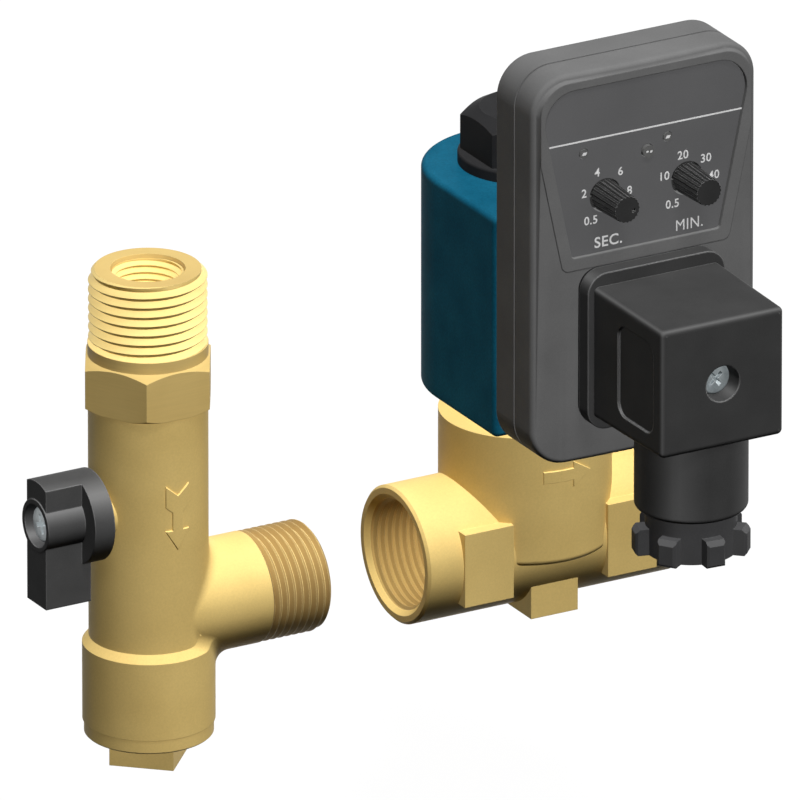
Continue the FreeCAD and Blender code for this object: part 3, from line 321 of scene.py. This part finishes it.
nodeFinishes = {
    "castBrass": ["strainer_valve_body", "drain_valve_body", "strainer_cap"],
    "turnedBrass": ["inlet_end", "bonnet", "stem", "coil_terminals", "connector_pins"],
    "stainless": ["ball", "strainer_screen", "armature_tube", "fixed_core", "plunger", "plunger_spring",
                  "coil_frame", "gland_washer"],
    "zincSteel": ["handle_screw", "connector_screw"],
    "whitePtfe": ["ball_seats", "stem_packing"],
    "rubber": ["strainer_cap_gasket", "bonnet_seal", "plunger_seal", "timer_gasket", "connector_gasket",
               "gland_grommet"],
    "coilBlue": ["coil_housing"],
    "copperWire": ["coil_winding"],
    "bobbinCream": ["coil_bobbin"],
    "timerGrey": ["timer_rear_shell"],
    "shellGrey": ["timer_front_shell"],
    "panelGrey": ["timer_panel"],
    "boardGreen": ["circuit_board"],
    "handleBlackPaintedLight": ["handle"],
    "blackPlastic": ["coil_terminal_base", "potentiometers", "test_switch", "connector_base",
                     "connector_insert", "connector_housing"],
    "coilNutBlack": ["coil_nut"],
    "nutBlack": ["gland_nut"],
    "knobBlack": ["sec_knob", "min_knob"],
    "smokedLens": ["indicator_lamps", "test_button"],
}
for finishName, names in nodeFinishes.items():
    for nodeName in names:
        giveFinish(nodes[nodeName], finishes[finishName])
print("finishes:", len(finishes), "and nodes left without one:",
      sorted(set(nodes) - {n for names in nodeFinishes.values() for n in names}))


# pieces that rework a node

def copiedMesh(nodeName):
    # the node's mesh with its seams closed, ready to be cut or moved
    bm = bmesh.new()
    bm.from_mesh(nodes[nodeName].data)
    bmesh.ops.remove_doubles(bm, verts=bm.verts, dist=weld)
    return bm


def carve(nodeName, cutters):
    # the node's mesh less each cutter
    solid = bpy.data.objects.new(nodeName + "Blank", meshFrom(nodeName + "Blank", copiedMesh(nodeName)))
    bpy.context.scene.collection.objects.link(solid)
    tools = []
    for number, cutter in enumerate(cutters):
        tool = bpy.data.objects.new(nodeName + "Tool%d" % number, cutter)
        bpy.context.scene.collection.objects.link(tool)
        cut = solid.modifiers.new("cut%d" % number, "BOOLEAN")
        cut.operation = "DIFFERENCE"
        cut.solver = "EXACT"
        cut.object = tool
        tools.append(tool)
    bpy.context.view_layer.update()
    graph = bpy.context.evaluated_depsgraph_get()
    mesh = bpy.data.meshes.new_from_object(solid.evaluated_get(graph))
    for extra in [solid] + tools:
        bpy.data.objects.remove(extra)
    return mesh


def barMesh(length, width, depth, place, taper=0.55, above=0.2):
    # a tapered bar along X, cut into a face that looks along +Z at its own origin, then put in place
    bm = bmesh.new()
    rings = []
    for z, grow in ((-depth, taper), (above, 1.0)):
        half = (length / 2 * grow, width / 2 * grow)
        rings.append([bm.verts.new((sx * half[0] * mm, sy * half[1] * mm, z * mm))
                      for sx, sy in ((-1, -1), (1, -1), (1, 1), (-1, 1))])
    bm.faces.new(rings[0][::-1])
    bm.faces.new(rings[1])
    for k in range(4):
        bm.faces.new((rings[0][k], rings[0][(k + 1) % 4], rings[1][(k + 1) % 4], rings[1][k]))
    bmesh.ops.transform(bm, matrix=place, verts=bm.verts)
    return meshFrom("bar", bm)


def facePlace(point, normal, turn):
    # a place on a face: +Z of the tool along the face's outward normal
    spin = Vector(normal).to_track_quat("Z", "Y").to_matrix().to_4x4()
    return Matrix.Translation(Vector(point) * mm) @ spin @ Matrix.Rotation(math.radians(turn), 4, "Z")


# Pipe threads: a ridge wound round an axis. rootHalf and crestHalf are shares of the pitch, and the
# ridge grows and fades over startFade and endFade.

def threadMesh(look, steps=72, soft=0.03):
    pitch, base, crest = look["pitch"], look["base"], look["crest"]
    start, end, phase = look["start"], look["end"], look["phase"]
    inward = crest < base
    rootHalf, crestHalf = look.get("rootHalf", 0.42), look.get("crestHalf", 0.08)
    corners = [0.5 - rootHalf, 0.5 - crestHalf, 0.5 + crestHalf, 0.5 + rootHalf]
    fractions = [0.0]
    for corner in corners:
        fractions += [corner - soft, corner + soft]
    fractions.append(1.0)
    firstTurn = math.floor((start - phase) / pitch) - 1
    lastTurn = math.ceil((end - phase) / pitch) + 1
    bm = bmesh.new()
    rows = []
    for step in range((lastTurn - firstTurn) * steps + 1):
        angle = 2 * math.pi * step / steps
        turn = firstTurn + step / steps
        row = []
        for part in fractions:
            away = abs(part - 0.5)
            share = min(1.0, max(0.0, (rootHalf - away) / (rootHalf - crestHalf)))
            along = phase + pitch * (turn + part - 0.5)
            if along <= start or along >= end:
                share = 0.0
            along = min(end, max(start, along))
            if look.get("fromNeck"):
                share = max(share, 1 - (along - start) / look["startFade"])
            else:
                share *= min(1.0, (along - start) / look["startFade"])
            share *= min(1.0, (end - along) / look["endFade"])
            radius = base + (crest - base) * share
            x, y = radius * math.cos(angle), radius * math.sin(angle)
            row.append(bm.verts.new(Vector((x, y, along)) * mm))
        rows.append(row)
    for low, high in zip(rows, rows[1:]):
        for k in range(len(fractions) - 1):
            quad = [low[k], high[k], high[k + 1], low[k + 1]]
            if quad[1].co.z == quad[3].co.z and quad[0].co.z == quad[2].co.z:
                continue                     # past the end of the thread
            bm.faces.new(quad[::-1] if inward else quad)
    bmesh.ops.dissolve_degenerate(bm, dist=weld, edges=bm.edges)
    loose = [v for v in bm.verts if not v.link_faces]
    bmesh.ops.delete(bm, geom=loose, context="VERTS")
    if look["axis"] == "X":                  # turns Z to X, X to Y and Y to Z
        swap = Matrix(((0, 0, 1, 0), (1, 0, 0, 0), (0, 1, 0, 0), (0, 0, 0, 1)))
        bmesh.ops.transform(bm, matrix=swap, verts=bm.verts)
    bmesh.ops.translate(bm, vec=Vector(look["centre"]) * mm, verts=bm.verts)
    return meshFrom(look["name"], bm)


# the half-inch threads of branch and ports, by radius; branchPhase places a crest along X
halfInch = dict(pitch=1.514, outerCrest=10.36, outerRoot=9.62, innerRoot=10.46, innerCrest=9.86)
fitTravel = 30.0                             # how far the drain valve slides onto the branch
branchPhase = 20.9

noseThread = dict(name="inlet_nose_thread", axis="Z", centre=(0, 0, 0), pitch=1.814, base=9.75,
                  crest=10.85, start=0.0, end=14.3, phase=0.4, startFade=0.5, endFade=1.1,
                  rootHalf=0.48, crestHalf=0.05, fromNeck=True)
boreThread = dict(name="inlet_bore_thread", axis="Z", centre=(0, 0, 0), pitch=1.337, base=6.56,
                  crest=5.75, start=1.2, end=13.6, phase=0.2, startFade=1.0, endFade=0.6)
branchThread = dict(name="branch_thread", axis="X", centre=(0, 0, valve.z), pitch=halfInch["pitch"],
                    base=halfInch["outerRoot"], crest=halfInch["outerCrest"], start=20.3, end=32.65,
                    phase=branchPhase, startFade=0.7, endFade=0.6, fromNeck=True, rootHalf=0.5,
                    crestHalf=0.07)
femaleLook = dict(axis="X", centre=(0, 0, valve.z), pitch=halfInch["pitch"], base=halfInch["innerRoot"],
                  crest=halfInch["innerCrest"], rootHalf=0.3, crestHalf=0.04, startFade=0.7, endFade=0.7,
                  phase=branchPhase + halfInch["pitch"] / 2 + fitTravel)
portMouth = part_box("drain_valve_body")[1][0] / mm - valve.x
portStart, portEnd = 0.9, 13.0               # how far in from its mouth a port's thread starts and ends
inletPortThread = dict(femaleLook, name="inlet_port_thread",
                       start=valve.x - portMouth + portStart, end=valve.x - portMouth + portEnd)
outletPortThread = dict(femaleLook, name="outlet_port_thread",
                        start=valve.x + portMouth - portEnd, end=valve.x + portMouth - portStart)
for look, body, finish in ((boreThread, "strainer_valve", "threadBrassPaintedLight"),
                           (branchThread, "strainer_valve", "threadBrassPaintedShade"),
                           (inletPortThread, "drain_valve", "boreBrassPaintedShade"),
                           (outletPortThread, "drain_valve", "boreBrassPaintedShade")):
    makePiece(look["name"], threadMesh(look), body, finishes[finish], sharp=25)

# the inlet end again, with its nose down at the thread's root and a smaller bevel at its bore
inletNose = dict(foot=-0.01, wall=(9.4, 10.7), bevelFoot=13.6, bevel=(6.8, 7.7), bore=6.58, bevelLeft=0.3)
bm = copiedMesh("inlet_end")
for v in bm.verts:
    radius, height = math.hypot(v.co.x, v.co.y) / mm, v.co.z / mm
    newRadius = radius
    if height > inletNose["foot"] and inletNose["wall"][0] < radius < inletNose["wall"][1]:
        newRadius = noseThread["base"]
    elif height > inletNose["bevelFoot"] and inletNose["bevel"][0] < radius < inletNose["bevel"][1]:
        newRadius = inletNose["bore"] + (radius - inletNose["bore"]) * inletNose["bevelLeft"]
    if newRadius != radius:
        v.co.x *= newRadius / radius
        v.co.y *= newRadius / radius
inletEnd = makePiece("inlet_end_threaded", meshFrom("inlet_end_threaded", bm), "strainer_valve",
                     finishes["turnedBrass"], sharp=18)
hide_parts("inlet_end")
makePiece("inlet_nose_thread", threadMesh(noseThread), "strainer_valve", finishes["threadBrassPaintedLight"],
          sharp=25)
print("threads made")


# raised arrows on the brass

def grown(outline, amount):
    # the same outline with every side moved outwards
    found = []
    for k, point in enumerate(outline):
        before, after = Vector(outline[k - 1]), Vector(outline[(k + 1) % len(outline)])
        here = Vector(point)
        first, second = (here - before).normalized(), (after - here).normalized()
        normals = Vector((first.y, -first.x)) + Vector((second.y, -second.x))
        found.append(here + normals * amount / (1 + first.dot(second)))
    return found


def raisedMark(look, cutStep=0.6, sunk=0.06):
    # an outline wrapped round the front of an upright cylinder, with sloping sides and a sunk foot
    bm = bmesh.new()
    top = [bm.verts.new((s * mm, h * mm, mm)) for s, h in look["outline"]]
    foot = [bm.verts.new((s * mm, h * mm, 0)) for s, h in grown(look["outline"], look["slope"])]
    bm.faces.new(top)
    for k in range(len(top)):
        after = (k + 1) % len(top)
        bm.faces.new((foot[k], foot[after], top[after], top[k]))
    reach = max(abs(s) for s, h in look["outline"]) + 1
    cuts = int(reach / cutStep)
    for k in range(-cuts, cuts + 1):
        bmesh.ops.bisect_plane(bm, geom=bm.verts[:] + bm.edges[:] + bm.faces[:], dist=1e-8,
                               plane_co=(k * cutStep * mm, 0, 0), plane_no=(1, 0, 0))
    for v in bm.verts:
        away = look["radius"] - sunk + (look["rise"] + sunk) * v.co.z / mm
        angle = v.co.x / (look["radius"] * mm)
        v.co = Vector((away * mm * math.sin(angle), -away * mm * math.cos(angle), v.co.y))
    bmesh.ops.translate(bm, vec=Vector(look["centre"]) * mm, verts=bm.verts)
    return meshFrom(look["name"], bm)


# outlines run anticlockwise as seen from the front
flowArrow = dict(name="flow_arrow", radius=15.9, rise=0.3, slope=0.12, centre=(valve.x, 0, valve.z + 16.0),
                 outline=[(-4.75, -1.1), (1.15, -1.1), (1.15, -2.4), (4.95, 0), (1.15, 2.4), (1.15, 1.1),
                          (-4.75, 1.1)])
downArrow = dict(name="strainer_arrow", radius=10.95, rise=0.3, slope=0.12, centre=(0, 0, valve.z + 21.7),
                 outline=[(0, -6.25), (2.3, -2.5), (1.0, -2.5), (1.0, 1.05), (2.3, 2.2), (2.3, 6.2),
                          (0, 4.2), (-2.3, 6.2), (-2.3, 2.2), (-1.0, 1.05), (-1.0, -2.5), (-2.3, -2.5)])
makePiece("flow_arrow", raisedMark(flowArrow), "drain_valve", finishes["castBrass"])
makePiece("strainer_arrow", raisedMark(downArrow), "strainer_valve", finishes["castBrass"])
print("arrows made")


# cross-head screws

def crossHead(nodeName, newName, look, body):
    cutters = []
    for turn in (look["turn"], look["turn"] + 90):
        place = facePlace(look["face"], look["normal"], turn)
        cutters.append(barMesh(look["cross"], look["slot"], look["depth"], place))
    screw = makePiece(newName, carve(nodeName, cutters), body, finishes["zincSteel"])
    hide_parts(nodeName)
    return screw


low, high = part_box("connector_screw")
connectorScrew = dict(face=((low[0] + high[0]) / 2 / mm, low[1] / mm, (low[2] + high[2]) / 2 / mm),
                      normal=(0, -1, 0), cross=3.7, slot=0.8, depth=0.7, turn=38)
crossHead("connector_screw", "connector_screw_crossed", connectorScrew, "coil_and_timer")
low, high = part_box("handle_screw")
handleScrew = dict(face=(low[0] / mm, (low[1] + high[1]) / 2 / mm, (low[2] + high[2]) / 2 / mm),
                   normal=(-1, 0, 0), cross=3.9, slot=0.95, depth=1.1, turn=20)
crossHead("handle_screw", "handle_screw_crossed", handleScrew, "ball_handle")
print("screws made")


# print on the timer's panel
panelPrint = dict(face=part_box("timer_panel")[0][1] / mm, lift=0.03, sunk=0.02, spacing=1.08, thick=0.004,
                  lineHeight=93.6, lineHalf=20.5, lineThick=0.3)
# by kind of word: its height, how much wider it is than the font's, and how much bolder
printKinds = {"numeral": (1.65, 0.97, 0.014), "word": (2.1, 1.02, 0.014), "short": (2.1, 0.90, 0.0)}
# each word's piece, text, place right of and above the drain valve's middle, and kind
printWords = [
    ("sec_05", "0.5", -11.22, 77.9, "numeral"), ("sec_2", "2", -12.62, 83.35, "numeral"),
    ("sec_4", "4", -9.9, 86.95, "numeral"), ("sec_6", "6", -5.05, 86.3, "numeral"),
    ("sec_8", "8", -3.17, 82.2, "numeral"), ("sec_10", "10", -4.7, 78.0, "numeral"),
    ("sec_word", "SEC.", -7.57, 73.3, "word"),
    ("min_05", "0.5", 5.76, 77.8, "numeral"), ("min_10", "10", 4.2, 83.5, "numeral"),
    ("min_20", "20", 7.95, 86.9, "numeral"), ("min_30", "30", 12.77, 85.4, "numeral"),
    ("min_40", "40", 14.4, 81.8, "numeral"), ("min_45", "45", 12.4, 77.8, "numeral"),
    ("min_word", "MIN.", 9.33, 73.3, "short"),
]


def printWord(name, words, x, z, height, widen, boldness):
    text = bpy.data.curves.new(name, "FONT")
    text.body = words
    text.size = 1.0
    text.align_x, text.align_y = "CENTER", "CENTER"
    text.offset = boldness
    text.space_character = panelPrint["spacing"]
    text.extrude = panelPrint["thick"]
    writing = bpy.data.objects.new(name, text)
    bpy.context.scene.collection.objects.link(writing)
    bpy.context.view_layer.update()
    graph = bpy.context.evaluated_depsgraph_get()
    mesh = bpy.data.meshes.new_from_object(writing.evaluated_get(graph))
    bpy.data.objects.remove(writing)
    ys = [v.co.y for v in mesh.vertices]
    xs = [v.co.x for v in mesh.vertices]
    size = height * mm / (max(ys) - min(ys))
    middle = Vector(((max(xs) + min(xs)) / 2, (max(ys) + min(ys)) / 2, 0))
    stand = Matrix.Rotation(math.radians(90), 4, "X")
    front = panelPrint["face"] - panelPrint["lift"]
    place = Matrix.Translation(Vector((valve.x + x, front, valve.z + z)) * mm)
    scaled = Matrix.Diagonal((size * widen, size, size, 1))
    mesh.transform(place @ stand @ scaled @ Matrix.Translation(-middle))
    return makePiece(name, mesh, "coil_and_timer", finishes["printAndGlintWhite"])


for name, words, x, z, kind in printWords:
    printWord(name, words, x, z, *printKinds[kind])


def thinPlate(name, corners, front, rear, body):
    # a flat white mark that faces the front, from corners right of and above the drain valve's middle
    bm = bmesh.new()
    rings = []
    for y in (front, rear):
        rings.append([bm.verts.new(Vector((valve.x + x, y, valve.z + z)) * mm) for x, z in corners])
    bm.faces.new(rings[0])
    for k in range(4):
        bm.faces.new((rings[1][k], rings[1][(k + 1) % 4], rings[0][(k + 1) % 4], rings[0][k]))
    return makePiece(name, meshFrom(name, bm), body, finishes["printAndGlintWhite"])


right, halfThick = panelPrint["lineHalf"], panelPrint["lineThick"] / 2
low, high = panelPrint["lineHeight"] - halfThick, panelPrint["lineHeight"] + halfThick
front, rear = panelPrint["face"] - panelPrint["lift"], panelPrint["face"] + panelPrint["sunk"]
thinPlate("panel_line", [(-right, low), (right, low), (right, high), (-right, high)], front, rear,
          "coil_and_timer")

# small leaning marks on the tips of the lamps and the button, on the lamps painted glints: middle, width,
# height and lean, then the node they lie on and the body they ride
glintPlate = dict(lift=0.02, thick=0.04)
glints = [("lamp_glint_1", -12.65, 91.1, 0.8, 0.55, 0.5, "indicator_lamps", "coil_and_timer"),
          ("lamp_glint_2", 4.75, 91.1, 0.8, 0.55, 0.5, "indicator_lamps", "coil_and_timer"),
          ("button_mark_1", 0.15, 89.25, 0.45, 0.3, 0.3, "test_button", "test_button"),
          ("button_mark_2", 0.95, 89.15, 0.45, 0.4, 0.3, "test_button", "test_button")]
for name, x, z, wide, tall, lean, node, body in glints:
    corners = [(x + (sx * wide + sz * lean * tall) / 2, z + sz * tall / 2)
               for sx, sz in ((-1, -1), (1, -1), (1, 1), (-1, 1))]
    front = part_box(node)[0][1] / mm - glintPlate["lift"]
    thinPlate(name, corners, front, front + glintPlate["thick"], body)
print("panel printed")


# The frame round the panel again, with its outer wall lower so that it runs softly into the case.
# wallLeft is the share of the wall that stays.
panelFrame = dict(wallLeft=0.25, reach=0.02, lowest=0.1, upright=0.2)
bm = copiedMesh("timer_front_shell")
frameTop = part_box("timer_front_shell")[0][1]
panelLow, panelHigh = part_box("timer_panel")
panelMiddle = Vector(((panelLow[0] + panelHigh[0]) / 2, 0, (panelLow[2] + panelHigh[2]) / 2))
feet = set()
for face in bm.faces:
    outward = face.normal.dot(face.calc_center_median() - panelMiddle) > 0
    onTop = any(abs(v.co.y - frameTop) < panelFrame["reach"] * mm for v in face.verts)
    if abs(face.normal.y) < panelFrame["upright"] and outward and onTop:
        feet.update(v for v in face.verts if v.co.y - frameTop > panelFrame["lowest"] * mm)
for v in feet:
    v.co.y = frameTop + (v.co.y - frameTop) * panelFrame["wallLeft"]
frontShell = makePiece("timer_front_shell_soft", meshFrom("timer_front_shell_soft", bm), "coil_and_timer",
                       finishes["shellGrey"], sharp=42)
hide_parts("timer_front_shell")
print("frame softened:", len(feet), "corners")


# pointer dimple in the seconds knob
secPointer = dict(across=0.95, tall=0.75, depth=0.45, right=1.3, up=-0.4, turn=20)
low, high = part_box("sec_knob")
pointerPlace = facePlace(((low[0] + high[0]) / 2 / mm + secPointer["right"], low[1] / mm,
                          (low[2] + high[2]) / 2 / mm + secPointer["up"]), (0, -1, 0), secPointer["turn"])
pointerBar = barMesh(secPointer["across"], secPointer["tall"], secPointer["depth"], pointerPlace)
secKnob = makePiece("sec_knob_dimpled", carve("sec_knob", [pointerBar]), "sec_knob", finishes["knobBlack"],
                    sharp=25)
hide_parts("sec_knob")
print("knob pointer cut")


# floor, light and camera
# the floor lies below the cap when it is drawn out, and floorHalf is in metres
studio = dict(floor=-116.0, floorHalf=30.0, floorSeen=(150, 150, 150), floorLit=(20, 20, 20),
              glow=0.60, skyGlow=0.01, backdrop=1.0)
# fromSide points from the object to the lamp, and the key light alone casts a shadow
lamps = {
    "keyLight": dict(fromSide=(-0.10, -0.50, 0.86), strength=0.50, angle=20, shadow=True),
    "topLight": dict(fromSide=(-0.11, -0.49, 0.86), strength=2.95, angle=12, shadow=False),
    "glintLight": dict(fromSide=(0.30, -0.25, 0.92), strength=1.20, angle=8, shadow=False),
    "sideLight": dict(fromSide=(0.24, -0.64, 0.73), strength=0.50, angle=12, shadow=False),
    "rightLight": dict(fromSide=(0.80, 0.60, -0.10), strength=0.30, angle=20, shadow=False),
    "backLight": dict(fromSide=(-0.36, 0.87, -0.20), strength=0.42, angle=20, shadow=False),
}
# the target is in millimetres, the distance and the clipping in metres
cameraLook = dict(target=(63.0, 18.8, -30.8), back=(-0.4542, -0.8073, 0.3769), distance=6.70,
                  lens=1650.0, sensor=36.0, clip=(0.1, 100.0))
target = Vector(cameraLook["target"]) * mm


def seenDirectly(tree, x, y):
    # 1 for camera, mirror and glass rays, 0 for the light that falls on the object
    path = addNode(tree, "ShaderNodeLightPath", x, y).outputs
    seen = addMath(tree, x + 200, y, "MAXIMUM", path["Is Camera Ray"], path["Is Glossy Ray"])
    return addMath(tree, x + 400, y, "MAXIMUM", seen, path["Is Transmission Ray"])


floorMesh = bpy.data.meshes.new("floor")
half, floorHeight = studio["floorHalf"], studio["floor"] * mm
floorMesh.from_pydata([(-half, -half, floorHeight), (half, -half, floorHeight), (half, half, floorHeight),
                       (-half, half, floorHeight)], [], [(0, 1, 2, 3)])
floor = bpy.data.objects.new("floor", floorMesh)
bpy.context.scene.collection.objects.link(floor)
floorFinish = bpy.data.materials.new("paleFloor")
floorFinish.use_nodes = True
tree = floorFinish.node_tree
tree.nodes.clear()
seen = addNode(tree, "ShaderNodeBsdfDiffuse", 0, 100)
seen.inputs["Color"].default_value = linear(studio["floorSeen"])
lit = addNode(tree, "ShaderNodeBsdfDiffuse", 0, 250)
lit.inputs["Color"].default_value = linear(studio["floorLit"])
glow = addNode(tree, "ShaderNodeEmission", 0, -100)
glow.inputs["Color"].default_value = white
glow.inputs["Strength"].default_value = studio["glow"]
both = addNode(tree, "ShaderNodeAddShader", 300, 0)
pick = addNode(tree, "ShaderNodeMixShader", 600, 0)
output = addNode(tree, "ShaderNodeOutputMaterial", 900, 0)
tree.links.new(seen.outputs[0], both.inputs[0])
tree.links.new(glow.outputs[0], both.inputs[1])
tree.links.new(seenDirectly(tree, -500, 300), pick.inputs["Fac"])
tree.links.new(lit.outputs[0], pick.inputs[1])
tree.links.new(both.outputs[0], pick.inputs[2])
tree.links.new(pick.outputs[0], output.inputs["Surface"])
floor.data.materials.append(floorFinish)

world = bpy.data.worlds.new("studio")
bpy.context.scene.world = world
world.use_nodes = True
tree = world.node_tree
tree.nodes.clear()
sky = addNode(tree, "ShaderNodeBackground", 0, 100)
sky.inputs["Color"].default_value = white
sky.inputs["Strength"].default_value = studio["skyGlow"]
backdrop = addNode(tree, "ShaderNodeBackground", 0, -100)
backdrop.inputs["Color"].default_value = white
backdrop.inputs["Strength"].default_value = studio["backdrop"]
pick = addNode(tree, "ShaderNodeMixShader", 300, 0)
output = addNode(tree, "ShaderNodeOutputWorld", 600, 0)
tree.links.new(seenDirectly(tree, -500, 300), pick.inputs["Fac"])
tree.links.new(sky.outputs[0], pick.inputs[1])
tree.links.new(backdrop.outputs[0], pick.inputs[2])
tree.links.new(pick.outputs[0], output.inputs["Surface"])

for name, lamp in lamps.items():
    lampData = bpy.data.lights.new(name, "SUN")
    lampData.energy = lamp["strength"]
    lampData.angle = math.radians(lamp["angle"])
    lampData.use_shadow = lamp["shadow"]
    lampObject = bpy.data.objects.new(name, lampData)
    lampBack = Vector(lamp["fromSide"]).normalized()
    lampObject.location = target + lampBack
    lampObject.rotation_mode = "QUATERNION"
    lampObject.rotation_quaternion = (-lampBack).to_track_quat("-Z", "Y")
    bpy.context.scene.collection.objects.link(lampObject)

cameraData = bpy.data.cameras.new("camera")
cameraData.sensor_width = cameraLook["sensor"]
cameraData.lens = cameraLook["lens"]
cameraData.clip_start, cameraData.clip_end = cameraLook["clip"]
camera = bpy.data.objects.new("camera", cameraData)
back = Vector(cameraLook["back"]).normalized()
camera.location = target + back * cameraLook["distance"]
camera.rotation_mode = "QUATERNION"
camera.rotation_quaternion = (-back).to_track_quat("-Z", "Y")
bpy.context.scene.collection.objects.link(camera)
bpy.context.scene.camera = camera
bpy.context.scene.view_settings.view_transform = "Standard"
print("studio set")
